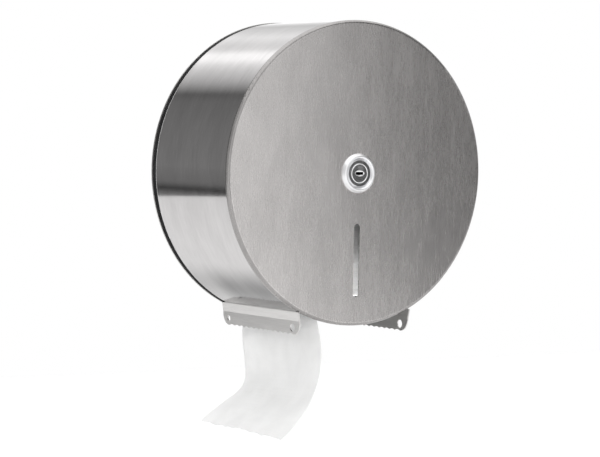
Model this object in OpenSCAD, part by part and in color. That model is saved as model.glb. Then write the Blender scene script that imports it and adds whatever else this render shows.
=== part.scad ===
// Jumbo toilet roll dispenser: a round steel cover with a cam lock, pushed over a back plate
// and an axle that carries one roll. All sizes are in millimetres.
//
// Every piece is drawn on the drum's axis, with x to the right, y up and z out from the wall.
// from_wall() then turns z out from the wall into the part's -Y and y into its +Z.

/* [Drum] */
// Outside diameter of the drum
drum_d = 270; // [256:1:320]
// Depth from the wall to the front of the drum
drum_depth = 130; // [110:1:150]
// Thickness of the cover's sheet steel
cover_sheet = 1; // [0.8:0.1:1.4]
// Outer radius of the bend round the front panel
panel_bend = 3; // [2:0.5:5]
// Length of the panel's turned edge, up to the weld with the band
panel_turn = 4.5; // [4:0.5:8]
// Width of the hem turned inward at the cover's rear edge
hem_w = 4; // [3:0.5:6]
// Outer radius of the bend at the hem
hem_bend = 1.8; // [1.5:0.1:2.5]

/* [Sight slot] */
// Width of the sight slot
sight_w = 6.2; // [4:0.2:10]
// Height of the sight slot
sight_h = 64.5; // [40:0.5:70]
// Distance from the lock's axis down to the top of the sight slot
sight_drop = 45; // [35:0.5:50]

/* [Outlet and tear bars] */
// Width of the outlet, between the outer faces of the two bars
outlet_w = 120; // [110:1:126]
// Thickness of the tear bars' sheet
bar_sheet = 1.2; // [1:0.1:1.6]
// Width of the foot that is welded inside the band
bar_foot = 11; // [8:0.5:15]
// Height of the neck from the drum to the bend
bar_neck = 9; // [6:0.5:12]
// Angle by which the neck leans inward
bar_lean = 10; // [4:1:16]
// Height of the toothed blade below the bend
bar_blade = 12; // [11.5:0.5:18]
// Angle by which the blade turns back outward from the neck
bar_flare = 8; // [4:1:25]
// Radius of the blade's lower corners
bar_corner = 10.5; // [6:0.5:11]
// Distance of the bar's rear end from the wall
bar_rear = 2.4; // [2.2:0.1:5]
// Distance of the bar's front end behind the drum's front
bar_front = 0.6; // [0.4:0.1:4]
// Distance from one tooth tip to the next
tooth_pitch = 8.1; // [6:0.1:12]
// Depth of the scallop between two teeth
tooth_depth = 1; // [0.8:0.1:2]
// Diameter of the hole near the bar's front end
bar_hole_front_d = 7.5; // [4:0.5:8]
// Distance of the front hole from the bar's front end
bar_hole_front_in = 11.5; // [9:0.5:16]
// Diameter of the hole near the bar's rear end
bar_hole_rear_d = 5; // [3:0.5:7]
// Distance of the rear hole from the bar's rear end
bar_hole_rear_in = 9.5; // [7:0.5:16]
// Distance of both holes below the bend
bar_hole_drop = 6; // [5:0.5:7]

/* [Back plate] */
// Thickness of the back plate
plate_t = 1.5; // [1.2:0.1:2]
// How far the back plate stands out past the drum
plate_over = 0.5; // [0.5:0.5:4]
// Width of the shadow gap between the back plate and the cover
shadow_gap = 4.5; // [3.5:0.5:6]
// Thickness of the locating rim's sheet
rim_sheet = 1.2; // [1:0.1:1.5]
// Width of the rim's foot on the back plate
rim_foot = 12; // [8:0.5:16]
// Length by which the rim reaches into the cover
rim_reach = 4.8; // [4:0.2:5]
// Radial clearance between the rim and the cover's hem
rim_gap = 0.5; // [0.4:0.1:1]
// Diameter of the four wall screw holes
wall_hole_d = 6.5; // [4:0.5:8]
// Distance between the wall screw holes across
wall_holes_x = 140; // [120:1:150]
// Distance between the wall screw holes upward
wall_holes_y = 120; // [100:1:130]

/* [Axle] */
// Diameter of the axle tube
axle_d = 20; // [18:0.5:22]
// Wall of the axle tube
axle_wall = 1.5; // [1:0.1:2]
// Diameter of the axle's flange
flange_d = 60; // [56:1:70]
// Thickness of the axle's flange
flange_t = 2; // [1.5:0.1:2.5]
// Diameter of the flange rivets
rivet_d = 5; // [4:0.5:6]
// Diameter of the rivets' heads
rivet_head_d = 9; // [7.5:0.5:9]
// Height of the rivets' heads
rivet_head_h = 2; // [1.5:0.1:2.5]
// Diameter of the circle of rivets
rivet_ring_d = 44; // [43:0.5:46]
// Length of the threaded plug in the axle's front end
axle_plug_l = 15; // [10:0.5:20]
// Outer diameter of the hub washers
washer_d = 29; // [26:0.5:31]
// Thickness of the hub washers
washer_t = 1.2; // [0.8:0.1:1.6]
// Thickness of the circlip
circlip_t = 1.2; // [1:0.1:1.5]
// Outer diameter of the circlip
circlip_d = 25; // [24:0.5:27]
// Depth of the circlip's groove
groove_depth = 0.8; // [0.5:0.1:1]

/* [Roll and hub] */
// Diameter of the full roll
roll_d = 220; // [200:1:226]
// Distance of the roll from the wall
roll_rear = 13; // [12.5:0.5:14]
// Distance of the roll's front behind the drum's front
roll_set_back = 12; // [11:0.5:18]
// Bore of the roll's cardboard core
core_bore = 60; // [60:1:66]
// Wall of the cardboard core
core_wall = 1.5; // [1:0.1:2.5]
// Slack between the hub and the core, on the radius
hub_slack = 0.5; // [0.3:0.1:1]
// Running clearance between the hub and the axle, on the radius
hub_fit = 0.1; // [0.05:0.01:0.1]
// Wall of the hub's sleeve on the axle
hub_sleeve_wall = 3.5; // [2:0.5:4]
// Wall of the hub's outer drum
hub_wall = 2; // [1.5:0.1:3]
// Thickness of the hub's ribs
hub_rib = 2; // [1.5:0.1:3]
// Number of ribs in the hub
hub_ribs = 6; // [4:1:8]
// Diameter of the hub's rear flange
hub_flange_d = 76; // [70:1:90]
// Thickness of the hub's rear flange
hub_flange_t = 3; // [2:0.1:4]
// Distance of the hub's front behind the roll's front
hub_set_back = 28; // [26:0.5:40]
// Chamfer on the hub's front edge
hub_chamfer = 1.5; // [1:0.1:1.5]

/* [Lock] */
// Outer diameter of the rose round the lock
rose_d = 35; // [32:0.5:40]
// Diameter of the rose's recess
rose_recess_d = 24; // [22.5:0.5:26]
// Height of the rose's crest above the panel
rose_h = 3.6; // [3:0.1:5]
// Radius of the rose's crest
rose_crest = 1.5; // [1:0.1:1.8]
// Thickness of the rose's lip under the lock housing
rose_lip = 0.8; // [0.5:0.1:1.2]
// Diameter of the lock housing's threaded barrel
barrel_d = 19; // [18:0.5:20]
// Diameter of the lock housing's head
head_d = 23; // [21.5:0.5:23.5]
// Thickness of the lock housing's head
head_t = 1.5; // [1:0.1:2]
// Thickness of the round ring that stands out round the plug's face
head_ring_w = 0.9; // [0.5:0.1:1.2]
// Diameter of the plug's face
plug_d = 15.6; // [14:0.1:15.6]
// Width of the oval dish round the key slot
key_dish_w = 10; // [9.5:0.5:12]
// Height of the oval dish round the key slot
key_dish_h = 5; // [4:0.5:7]
// Depth of the oval dish round the key slot
key_dish_depth = 0.8; // [0.3:0.1:1]
// Running clearance of the plug in the housing, on the radius
plug_fit = 0.05; // [0.03:0.01:0.1]
// Length of the plug's front part
plug_front_l = 12; // [8:0.5:14]
// Diameter of the plug's rear part
plug_rear_d = 12; // [10.5:0.5:12.5]
// Width of the key slot
key_w = 8; // [6:0.5:9]
// Height of the key slot
key_h = 2.4; // [1.5:0.1:3]
// Depth of the key slot
key_depth = 9; // [6:0.5:12]
// Width of the square that carries the cam
square_w = 7; // [6:0.5:7.5]
// Thickness of the cam
cam_t = 2; // [1.5:0.1:2.5]
// Width of the cam's tongue
cam_w = 10; // [8:0.5:12]
// Distance from the lock's axis to the tongue's end
cam_reach = 20; // [16:0.5:20]
// Diameter of the cam's round end
cam_boss_d = 16; // [14:0.5:18]
// Diameter of the cam screw's thread
cam_screw_d = 4; // [3:0.5:5]
// Diameter of the cam screw's head
cam_screw_head_d = 9; // [8:0.5:10]
// Height of the cam screw's head
cam_screw_head_h = 2; // [1.5:0.1:2.5]
// Length of the cam screw's shank
cam_screw_l = 9; // [6:0.5:10]
// Thickness of the lock washer
lock_washer_t = 1; // [0.8:0.1:1.5]
// Outer diameter of the lock washer
lock_washer_d = 28; // [26:0.5:32]
// Width of the lock nut across its flats
nut_af = 24; // [22:0.5:28]
// Thickness of the lock nut
nut_t = 5; // [3:0.5:6]

/* [Strike cup] */
// Distance of the strike cup's front behind the front panel
strike_set_back = 17; // [8:0.5:17]
// Outer diameter of the strike cup
cup_d = 48; // [46.5:0.5:54]
// Depth of the strike cup
cup_depth = 12; // [11.5:0.5:13]
// Thickness of the strike cup's wall
cup_wall = 1.5; // [1:0.1:1.6]
// Clearance of the keyhole round the barrel and the cam
keyhole_gap = 0.6; // [0.4:0.1:1]
// Diameter of the strike screw's thread
strike_screw_d = 6; // [5:0.5:8]
// Diameter of the strike screw's head
strike_screw_head_d = 11; // [9:0.5:14]
// Height of the strike screw's head
strike_screw_head_h = 2.5; // [2:0.1:3]
// Length of the strike screw's shank
strike_screw_l = 12; // [8:0.5:13]

/* [Paper tail] */
// Length of the paper from the roll to its torn end
tail_l = 162; // [150:1:170]
// Thickness of the paper tail
tail_t = 0.8; // [0.6:0.1:1.2]
// Angle on the roll, counted from the right, where the paper leaves it
tail_leave = 239.5; // [237:0.5:242]

/* [Clearances] */
// Clearance between pieces that don't touch but lie next to each other
seat_gap = 0.3; // [0.3:0.05:0.4]
// Radial clearance of screws, rivets and washers in their holes
fix_gap = 0.05; // [0.03:0.01:0.1]
// Gap between the cam and the strike plate that it catches behind
catch_gap = 0.5; // [0.3:0.1:1]

/* [Hidden] */
$fn = 96;

// How far a cut runs past the faces that it opens
overrun = 1;
// How much wider a rounding is cut, so that its arc crosses the edges that it meets
rounding_ease = 0.05;

// Radii of the cover and places along the axis, out from the wall
drum_r = drum_d / 2;
band_r = drum_r - cover_sheet;
cover_rear = plate_t + shadow_gap;
seam = drum_depth - panel_turn;
panel_in = drum_depth - cover_sheet;

// Back plate and rim
rim_r = drum_r - hem_w - rim_gap;
rim_front = cover_rear + rim_reach;

// Roll, hub and axle: the roll fills the drum's depth, and the strike cup on the axle's
// end follows the lock on the front panel
roll_front = drum_depth - roll_set_back;
paper_w = roll_front - roll_rear;
core_r = core_bore / 2;
hub_r = core_r - hub_slack;
sleeve_r = axle_d / 2 + hub_fit + hub_sleeve_wall;
flange_front = plate_t + flange_t;
hub_rear = flange_front + washer_t + seat_gap;
hub_front = roll_front - hub_set_back;
clip_rear = hub_front + seat_gap + washer_t;
cup_front = panel_in - strike_set_back;
axle_front = cup_front - cup_depth;

// Cam and lock, placed from the strike plate forward
strike_rear = cup_front - cup_wall;
cam_front = strike_rear - catch_gap;
cam_rear = cam_front - cam_t;
barrel_rear = cam_front + seat_gap;
head_rear = drum_depth + rose_lip;
head_front = head_rear + head_t;
plug_bore_r = plug_d / 2 + plug_fit;
plug_rear_bore_r = plug_rear_d / 2 + plug_fit;
plug_step = head_front - plug_front_l;

// Tear bars: the outer face of the neck, the bend's height and the ends of the foot
bar_x = outlet_w / 2;
bar_in = bar_x - bar_sheet;
bar_top = sqrt(pow(drum_r, 2) - pow(bar_x, 2));
bar_shoulder = sqrt(pow(drum_r, 2) - pow(bar_in, 2)) + seat_gap;
bar_bend_y = bar_top + bar_neck;
foot_rear = cover_rear + cover_sheet + seat_gap;
foot_front = seam;
foot_mid_y = sqrt(pow(band_r - bar_sheet / 2, 2) - pow(bar_x, 2));
bar_ahead = drum_depth - bar_front;
bar_l = bar_ahead - bar_rear;
scallop_r = arc_radius(tooth_pitch, tooth_depth);
teeth_l = bar_l - 2 * bar_corner;
teeth = floor(teeth_l / tooth_pitch);

// Headings of the paper tail's front and rear edges, in degrees from the right, along
// its length. The tail leaves the roll, drops through the outlet and curls to the left.
tail_tangent = tail_leave - 270;
tail_front_shares = [[0, tail_tangent], [0.09, -46], [0.19, -73], [0.26, -74], [0.35, -77],
                     [0.46, -88], [0.55, -98], [0.68, -111], [0.77, -126], [0.85, -137],
                     [0.93, -138], [1, -150]];
tail_rear_shares = [[0, tail_tangent], [0.09, -58], [0.19, -98], [0.27, -92], [0.35, -92],
                    [0.41, -82], [0.50, -80], [0.59, -88], [0.65, -112], [0.70, -140],
                    [0.75, -153], [0.83, -148], [0.92, -145], [1, -139]];
tail_rows = 30;
tail_columns = 4;
tail_start_r = roll_d / 2 + seat_gap + tail_t / 2;

steel = [0.74, 0.73, 0.72];
bright_steel = [0.82, 0.82, 0.82];
zinc = [0.66, 0.68, 0.70];
chrome = [0.86, 0.87, 0.88];
black_rubber = [0.10, 0.10, 0.10];
grey_nylon = [0.55, 0.56, 0.58];
white_paper = [0.95, 0.95, 0.94];
cardboard = [0.66, 0.54, 0.40];

// The radius of an arc from its chord and its depth
function arc_radius(chord, depth) = (pow(chord / 2, 2) + pow(depth, 2)) / (2 * depth);

// Turns a piece drawn out from the wall into the part's own frame
module from_wall() {
    rotate([90, 0, 0]) children();
}

// A tube along the axis from one place to another
module tube(outer_r, inner_r, from, to) {
    translate([0, 0, from])
        difference() {
            cylinder(r = outer_r, h = to - from);
            translate([0, 0, -overrun]) cylinder(r = inner_r, h = to - from + 2 * overrun);
        }
}

// A rod along the axis from one place to another
module rod(radius, from, to) {
    translate([0, 0, from]) cylinder(r = radius, h = to - from);
}

// The quarter ring of a bent sheet, bulging to +x and +y
module bend_corner(outer_r, sheet) {
    intersection() {
        difference() {
            circle(r = outer_r);
            circle(r = outer_r - sheet);
        }
        square(outer_r);
    }
}

module back_plate() {
    color(steel) from_wall() difference() {
        rod(drum_r + plate_over, 0, plate_t);
        for (x = [-1, 1], y = [-1, 1])
            translate([x * wall_holes_x / 2, y * wall_holes_y / 2, -overrun])
                cylinder(d = wall_hole_d, h = plate_t + 2 * overrun);
        rivet_places() translate([0, 0, -overrun])
            cylinder(r = rivet_d / 2 + fix_gap, h = plate_t + 2 * overrun);
    }
}

// An L-shaped ring: its foot lies on the back plate, its wall reaches into the cover
module locating_rim() {
    color(steel) from_wall() rotate_extrude() {
        translate([rim_r - rim_foot, plate_t]) square([rim_foot, rim_sheet]);
        translate([rim_r - rim_sheet, plate_t]) square([rim_sheet, rim_front - plate_t]);
    }
}

// The rubber ring in the shadow gap that the cover's hem stops on
module cover_seal() {
    color(black_rubber) from_wall()
        tube(drum_r - seat_gap, rim_r + seat_gap, plate_t, cover_rear - seat_gap);
}

module rivet_places() {
    for (a = [45 : 90 : 315])
        rotate([0, 0, a]) translate([rivet_ring_d / 2, 0, 0]) children();
}

module axle_flange() {
    color(steel) from_wall() difference() {
        rod(flange_d / 2, plate_t, flange_front);
        rivet_places() translate([0, 0, plate_t - overrun])
            cylinder(r = rivet_d / 2 + fix_gap, h = flange_t + 2 * overrun);
    }
}

module flange_rivets() {
    color(zinc) from_wall() rivet_places() {
        rod(rivet_d / 2, 0, flange_front);
        translate([0, 0, flange_front]) rivet_head();
    }
}

// A domed head: the part of a ball that stands above the flange
module rivet_head() {
    ball_r = arc_radius(rivet_head_d, rivet_head_h);
    intersection() {
        translate([0, 0, rivet_head_h - ball_r]) sphere(r = ball_r);
        cylinder(d = rivet_head_d, h = rivet_head_h);
    }
}

module axle_tube() {
    color(steel) from_wall() difference() {
        tube(axle_d / 2, axle_d / 2 - axle_wall, flange_front, axle_front);
        tube(axle_d / 2 + overrun, axle_d / 2 - groove_depth, clip_rear - fix_gap,
             clip_rear + circlip_t + fix_gap);
    }
}

module axle_plug() {
    color(zinc) from_wall()
        tube(axle_d / 2 - axle_wall - fix_gap, strike_screw_d / 2 + fix_gap,
             axle_front - axle_plug_l, axle_front);
}

module hub_washer(rear) {
    color(grey_nylon) from_wall()
        tube(washer_d / 2, axle_d / 2 + fix_gap, rear, rear + washer_t);
}

module rear_hub_washer() {
    hub_washer(flange_front);
}

module front_hub_washer() {
    hub_washer(hub_front + seat_gap);
}

// An open spring ring in the axle's groove
module hub_circlip() {
    inner_r = axle_d / 2 - groove_depth + fix_gap;
    mouth = axle_d / 2;
    color(zinc) from_wall() difference() {
        tube(circlip_d / 2, inner_r, clip_rear, clip_rear + circlip_t);
        translate([-mouth / 2, 0, clip_rear - overrun])
            cube([mouth, circlip_d / 2 + overrun, circlip_t + 2 * overrun]);
    }
}

// A cup on the axle's end. Its front plate has a keyhole: the lock's barrel and its cam,
// pointing down, pass through, and the turned cam catches behind the plate.
module strike_cup() {
    keyhole_w = cam_w + 2 * keyhole_gap;
    color(bright_steel) from_wall() difference() {
        rod(cup_d / 2, axle_front, cup_front);
        rod(cup_d / 2 - cup_wall, axle_front + cup_wall, strike_rear);
        rod(strike_screw_d / 2 + fix_gap, axle_front - overrun, axle_front + cup_wall + overrun);
        rod(barrel_d / 2 + keyhole_gap, strike_rear - overrun, cup_front + overrun);
        translate([-keyhole_w / 2, -cam_reach - keyhole_gap, strike_rear - overrun])
            cube([keyhole_w, cam_reach + keyhole_gap, cup_wall + 2 * overrun]);
    }
}

// A pan head screw along the axis: its head stands ahead of or behind the seat
module pan_screw(thread_d, shank_from, shank_to, head_d, head_from, head_to, recess_from, recess_to) {
    recess_w = thread_d / 2;
    difference() {
        union() {
            rod(thread_d / 2, shank_from, shank_to);
            rod(head_d / 2, head_from, head_to);
        }
        for (a = [0, 90])
            rotate([0, 0, a])
                translate([-thread_d / 2, -recess_w / 4, recess_from])
                    cube([thread_d, recess_w / 2, recess_to - recess_from]);
    }
}

module strike_screw() {
    seat = axle_front + cup_wall;
    head_front = seat + strike_screw_head_h;
    color(zinc) from_wall()
        pan_screw(strike_screw_d, seat - strike_screw_l, seat, strike_screw_head_d, seat,
                  head_front, seat + strike_screw_head_h / 2, head_front + overrun);
}

// The paper between its two edges, each a path that turns by its table of headings
function tail_edge(headings) =
    let (step = tail_l / tail_rows)
    [for (i = 0, p = tail_start_r * [cos(tail_leave), sin(tail_leave)];
          i <= tail_rows;
          p = p + step * [cos(lookup((i + 0.5) / tail_rows, headings)),
                          sin(lookup((i + 0.5) / tail_rows, headings))],
          i = i + 1) p];

function tail_heading(row, across) =
    let (along = row / tail_rows)
    (1 - across) * lookup(along, tail_front_shares) + across * lookup(along, tail_rear_shares);

module paper_tail() {
    front_edge = tail_edge(tail_front_shares);
    rear_edge = tail_edge(tail_rear_shares);
    sheet_points = [for (side = [-1, 1], row = [0 : tail_rows], column = [0 : tail_columns])
        let (across = column / tail_columns,
             heading = tail_heading(row, across),
             middle = (1 - across) * front_edge[row] + across * rear_edge[row],
             place = middle + side * tail_t / 2 * [-sin(heading), cos(heading)])
        [place[0], place[1], roll_front - across * paper_w]];
    line = tail_columns + 1;
    sheet = line * (tail_rows + 1);
    cells = [for (row = [0 : tail_rows - 1], column = [0 : tail_columns - 1]) row * line + column];
    low_faces = [for (c = cells, half = [0, 1])
        half == 0 ? [c, c + line, c + 1] : [c + 1, c + line, c + line + 1]];
    high_faces = [for (f = low_faces) [f[0] + sheet, f[2] + sheet, f[1] + sheet]];
    top = [for (column = [0 : tail_columns - 1]) column];
    end = [for (column = [0 : tail_columns - 1]) tail_rows * line + column];
    front_side = [for (row = [0 : tail_rows - 1]) row * line];
    rear_side = [for (row = [0 : tail_rows - 1]) row * line + tail_columns];
    rim_faces = concat(
        [for (c = top, half = [0, 1])
            half == 0 ? [c, c + 1, c + sheet] : [c + 1, c + 1 + sheet, c + sheet]],
        [for (c = end, half = [0, 1])
            half == 0 ? [c + 1, c, c + sheet] : [c + 1, c + sheet, c + 1 + sheet]],
        [for (c = front_side, half = [0, 1])
            half == 0 ? [c + line, c, c + sheet] : [c + line, c + sheet, c + line + sheet]],
        [for (c = rear_side, half = [0, 1])
            half == 0 ? [c, c + line, c + sheet] : [c + line, c + line + sheet, c + sheet]]);
    color(white_paper) from_wall()
        polyhedron(points = sheet_points, faces = concat(low_faces, high_faces, rim_faces));
}

// A sleeve on the axle, a drum in the roll's core, ribs between them and a rear flange
module roll_hub() {
    drum_front = hub_front - hub_wall;
    chamfer_rear = drum_front - hub_chamfer;
    root = roll_rear - hub_flange_t / 2;
    rib_in = sleeve_r - hub_sleeve_wall / 2;
    rib_out = hub_r - hub_wall / 2;
    color(grey_nylon) from_wall() difference() {
        union() {
            rod(sleeve_r, hub_rear, hub_front);
            rod(hub_flange_d / 2, roll_rear - hub_flange_t, roll_rear);
            for (i = [0 : hub_ribs - 1])
                rotate([0, 0, i * 360 / hub_ribs])
                    translate([rib_in, -hub_rib / 2, root])
                        cube([rib_out - rib_in, hub_rib, chamfer_rear - root]);
            rotate_extrude()
                polygon([[hub_r - hub_wall, root],
                         [hub_r, root],
                         [hub_r, chamfer_rear],
                         [hub_r - hub_chamfer, drum_front],
                         [hub_r - hub_wall, drum_front]]);
        }
        rod(axle_d / 2 + hub_fit, hub_rear - overrun, hub_front + overrun);
    }
}

module roll_core() {
    color(cardboard) from_wall() tube(core_r + core_wall, core_r, roll_rear, roll_front);
}

module paper_roll() {
    color(white_paper) from_wall() tube(roll_d / 2, core_r + core_wall, roll_rear, roll_front);
}

// A flat disc with a bent edge, the lock's hole and the upright sight slot
module front_panel() {
    flat_r = drum_r - panel_bend;
    slot_top = -sight_drop - sight_w / 2;
    slot_low = -sight_drop - sight_h + sight_w / 2;
    color(steel) from_wall() difference() {
        rotate_extrude() {
            translate([0, panel_in]) square([flat_r, cover_sheet]);
            translate([flat_r, drum_depth - panel_bend]) bend_corner(panel_bend, cover_sheet);
            translate([band_r, seam]) square([cover_sheet, panel_turn - panel_bend]);
        }
        rod(barrel_d / 2 + fix_gap, panel_in - overrun, drum_depth + overrun);
        for (y = [slot_top, slot_low])
            translate([0, y, 0]) rod(sight_w / 2, panel_in - overrun, drum_depth + overrun);
        translate([-sight_w / 2, slot_low, panel_in - overrun])
            cube([sight_w, slot_top - slot_low, cover_sheet + 2 * overrun]);
    }
}

// The rolled band with its rear hem, open at the bottom from front to back
module drum_band() {
    color(steel) from_wall() difference() {
        rotate_extrude() {
            translate([band_r, cover_rear + hem_bend])
                square([cover_sheet, seam - cover_rear - hem_bend]);
            translate([drum_r - hem_bend, cover_rear + hem_bend])
                mirror([0, 1]) bend_corner(hem_bend, cover_sheet);
            translate([drum_r - hem_w, cover_rear]) square([hem_w - hem_bend, cover_sheet]);
        }
        translate([-bar_x, -drum_r - overrun, cover_rear - overrun])
            cube([outlet_w, drum_r + overrun, seam - cover_rear + 2 * overrun]);
    }
}

// The section of the right tear bar: the foot inside the band and the top of the neck
module bar_foot_section() {
    intersection() {
        difference() {
            circle(r = band_r);
            circle(r = band_r - bar_sheet);
        }
        translate([bar_in, -drum_r]) square([bar_sheet + bar_foot, drum_r]);
    }
    translate([bar_in, -bar_shoulder]) square([bar_sheet, bar_shoulder - foot_mid_y]);
}

// Leans its children inward about the neck's outer face, just below the drum
module leaning_inward() {
    translate([bar_x, -bar_shoulder, 0])
        rotate([0, 0, -bar_lean])
            translate([-bar_x, bar_shoulder, 0]) children();
}

// The section of the neck and the blade, creased where the blade turns back outward
module bar_hanging_section() {
    low_x = bar_x + bar_blade * sin(bar_flare);
    low_y = -bar_bend_y - bar_blade * cos(bar_flare);
    polygon([[bar_x, -bar_shoulder],
             [bar_x, -bar_bend_y],
             [low_x, low_y],
             [low_x - bar_sheet * cos(bar_flare), low_y - bar_sheet * sin(bar_flare)],
             [bar_in, -bar_bend_y - bar_sheet * tan(bar_flare / 2)],
             [bar_in, -bar_shoulder]]);
}

// Places its children in the blade's own frame, with the outer face at x 0 and y up the blade
module blade_frame() {
    translate([bar_x, -bar_bend_y, 0]) rotate([0, 0, bar_flare]) children();
}

// A cutter across the blade, at a distance below the bend and a place out from the wall
module blade_cutter(radius, drop, out) {
    translate([-bar_sheet - overrun, -drop, out])
        rotate([0, 90, 0]) cylinder(r = radius, h = bar_sheet + 2 * overrun);
}

// What rounds one lower corner off: a square block less a round one
module corner_cutter(end, inward) {
    corner_in = end + inward * bar_corner;
    block_from = inward > 0 ? end - overrun : corner_in;
    difference() {
        translate([-bar_sheet - overrun, -bar_blade - overrun, block_from])
            cube([bar_sheet + 2 * overrun, bar_corner + overrun, bar_corner + overrun]);
        for (x = [-overrun, overrun])
            translate([x, 0, 0])
                blade_cutter(bar_corner + rounding_ease, bar_blade - bar_corner, corner_in);
    }
}

module tear_bar() {
    first_tooth = bar_rear + bar_corner + (teeth_l - teeth * tooth_pitch) / 2;
    color(bright_steel) from_wall() {
        translate([0, 0, foot_rear])
            linear_extrude(height = foot_front - foot_rear) bar_foot_section();
        leaning_inward() difference() {
            translate([0, 0, bar_rear]) linear_extrude(height = bar_l) bar_hanging_section();
            blade_frame() {
                corner_cutter(bar_rear, 1);
                corner_cutter(bar_ahead, -1);
                blade_cutter(bar_hole_rear_d / 2, bar_hole_drop, bar_rear + bar_hole_rear_in);
                blade_cutter(bar_hole_front_d / 2, bar_hole_drop, bar_ahead - bar_hole_front_in);
                for (i = [0 : teeth - 1])
                    blade_cutter(scallop_r, bar_blade + scallop_r - tooth_depth,
                                 first_tooth + (i + 0.5) * tooth_pitch);
            }
        }
    }
}

module right_tear_bar() {
    tear_bar();
}

module left_tear_bar() {
    mirror([1, 0, 0]) tear_bar();
}

// A dished ring: a rounded crest, a recess for the housing's head and a thin lip under it
module lock_rose() {
    outer_r = rose_d / 2;
    recess_r = rose_recess_d / 2;
    crest_x = (outer_r + recess_r) / 2;
    crest_y = rose_h - rose_crest;
    color(chrome) from_wall() translate([0, 0, drum_depth]) rotate_extrude() {
        translate([barrel_d / 2 + fix_gap, 0])
            square([recess_r - barrel_d / 2 - fix_gap + rose_lip, rose_lip]);
        translate([crest_x, crest_y]) circle(r = rose_crest);
        polygon([[recess_r, 0],
                 [outer_r, 0],
                 [outer_r, rose_lip],
                 [crest_x + rose_crest * cos(40), crest_y + rose_crest * sin(40)],
                 [crest_x + rose_crest * cos(140), crest_y + rose_crest * sin(140)],
                 [recess_r, rose_lip]]);
    }
}

module lock_housing() {
    ring_r = head_ring_w / 2;
    color(chrome) from_wall() difference() {
        union() {
            rod(barrel_d / 2, barrel_rear, head_rear);
            rod(head_d / 2, head_rear, head_front);
            rotate_extrude() translate([plug_bore_r + fix_gap + ring_r, head_front]) circle(r = ring_r);
        }
        rod(plug_bore_r, plug_step - plug_fit, head_front + overrun);
        rod(plug_rear_bore_r, barrel_rear - overrun, head_front);
    }
}

module lock_washer() {
    color(zinc) from_wall()
        tube(lock_washer_d / 2, barrel_d / 2 + fix_gap, panel_in - lock_washer_t, panel_in);
}

module lock_nut() {
    nut_front = panel_in - lock_washer_t;
    color(zinc) from_wall() difference() {
        translate([0, 0, nut_front - nut_t]) cylinder(r = nut_af / 2 / cos(30), h = nut_t, $fn = 6);
        rod(barrel_d / 2 + fix_gap, nut_front - nut_t - overrun, nut_front + overrun);
    }
}

// The plug turns in the housing. Its face is dished round the key slot, and its rear square
// carries the cam.
module lock_plug() {
    square_rear = cam_rear + fix_gap;
    color(chrome) from_wall() difference() {
        union() {
            rod(plug_d / 2, plug_step, head_front);
            rod(plug_rear_d / 2, cam_front, plug_step);
            translate([-square_w / 2, -square_w / 2, square_rear])
                cube([square_w, square_w, cam_front - square_rear]);
        }
        for (x = [-1, 1])
            translate([x * (key_w - key_h) / 2, 0, 0])
                rod(key_h / 2, head_front - key_depth, head_front + overrun);
        translate([-(key_w - key_h) / 2, -key_h / 2, head_front - key_depth])
            cube([key_w - key_h, key_h, key_depth + overrun]);
        rod(cam_screw_d / 2 + fix_gap, square_rear - overrun, cam_rear + cam_screw_l + fix_gap);
        key_dish();
    }
}

// What cuts the oval dish: a round ring on an upright axis, dipped into the plug's face
module key_dish() {
    reach = arc_radius(key_dish_w, key_dish_depth);
    tube_r = arc_radius(key_dish_h, key_dish_depth);
    translate([0, 0, head_front - key_dish_depth + reach])
        rotate([90, 0, 0]) rotate_extrude() translate([reach - tube_r, 0]) circle(r = tube_r);
}

// A tongue with a square hole, pointing down when the lock is open
module lock_cam() {
    hole = square_w + 2 * fix_gap;
    color(zinc) from_wall() difference() {
        union() {
            rod(cam_boss_d / 2, cam_rear, cam_front);
            translate([-cam_w / 2, -cam_reach, cam_rear]) cube([cam_w, cam_reach, cam_t]);
        }
        translate([-hole / 2, -hole / 2, cam_rear - overrun])
            cube([hole, hole, cam_t + 2 * overrun]);
    }
}

module cam_screw() {
    head_rear = cam_rear - cam_screw_head_h;
    color(zinc) from_wall()
        pan_screw(cam_screw_d, cam_rear, cam_rear + cam_screw_l, cam_screw_head_d, head_rear,
                  cam_rear, head_rear - overrun, cam_rear - cam_screw_head_h / 2);
}

back_plate();
locating_rim();
cover_seal();
axle_flange();
flange_rivets();
axle_tube();
axle_plug();
rear_hub_washer();
front_hub_washer();
hub_circlip();
strike_cup();
strike_screw();
paper_tail();
roll_hub();
roll_core();
paper_roll();
front_panel();
drum_band();
left_tear_bar();
right_tear_bar();
lock_rose();
lock_housing();
lock_washer();
lock_nut();
lock_plug();
lock_cam();
cam_screw();
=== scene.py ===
"""Looks of a jumbo toilet roll dispenser: brushed steel drum, cam lock, tear bars and paper.

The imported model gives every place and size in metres: -Y out from the wall, +Z up.
"""

import math

import bmesh
import bpy
import numpy as np
from bpy.props import FloatProperty, FloatVectorProperty, IntProperty, PointerProperty
from bpy.types import Operator, Panel, PropertyGroup
from mathutils import Matrix, Vector


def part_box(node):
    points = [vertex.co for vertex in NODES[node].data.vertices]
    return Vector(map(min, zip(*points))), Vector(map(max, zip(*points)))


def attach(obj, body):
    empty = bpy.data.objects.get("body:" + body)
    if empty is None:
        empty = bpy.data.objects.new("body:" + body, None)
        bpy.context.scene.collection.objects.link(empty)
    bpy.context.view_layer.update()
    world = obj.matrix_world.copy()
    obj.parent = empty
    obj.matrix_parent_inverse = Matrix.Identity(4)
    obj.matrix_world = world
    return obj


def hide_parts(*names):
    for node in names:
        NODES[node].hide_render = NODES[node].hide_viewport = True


bl_info = {
    "name": "Jumbo toilet roll dispenser",
    "version": (1, 0, 0),
    "blender": (4, 5, 0),
    "location": "View3D > Sidebar > Dispenser",
    "description": "Dresses a wall-held jumbo toilet roll dispenser and sets its stage",
    "category": "Object",
}

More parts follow.
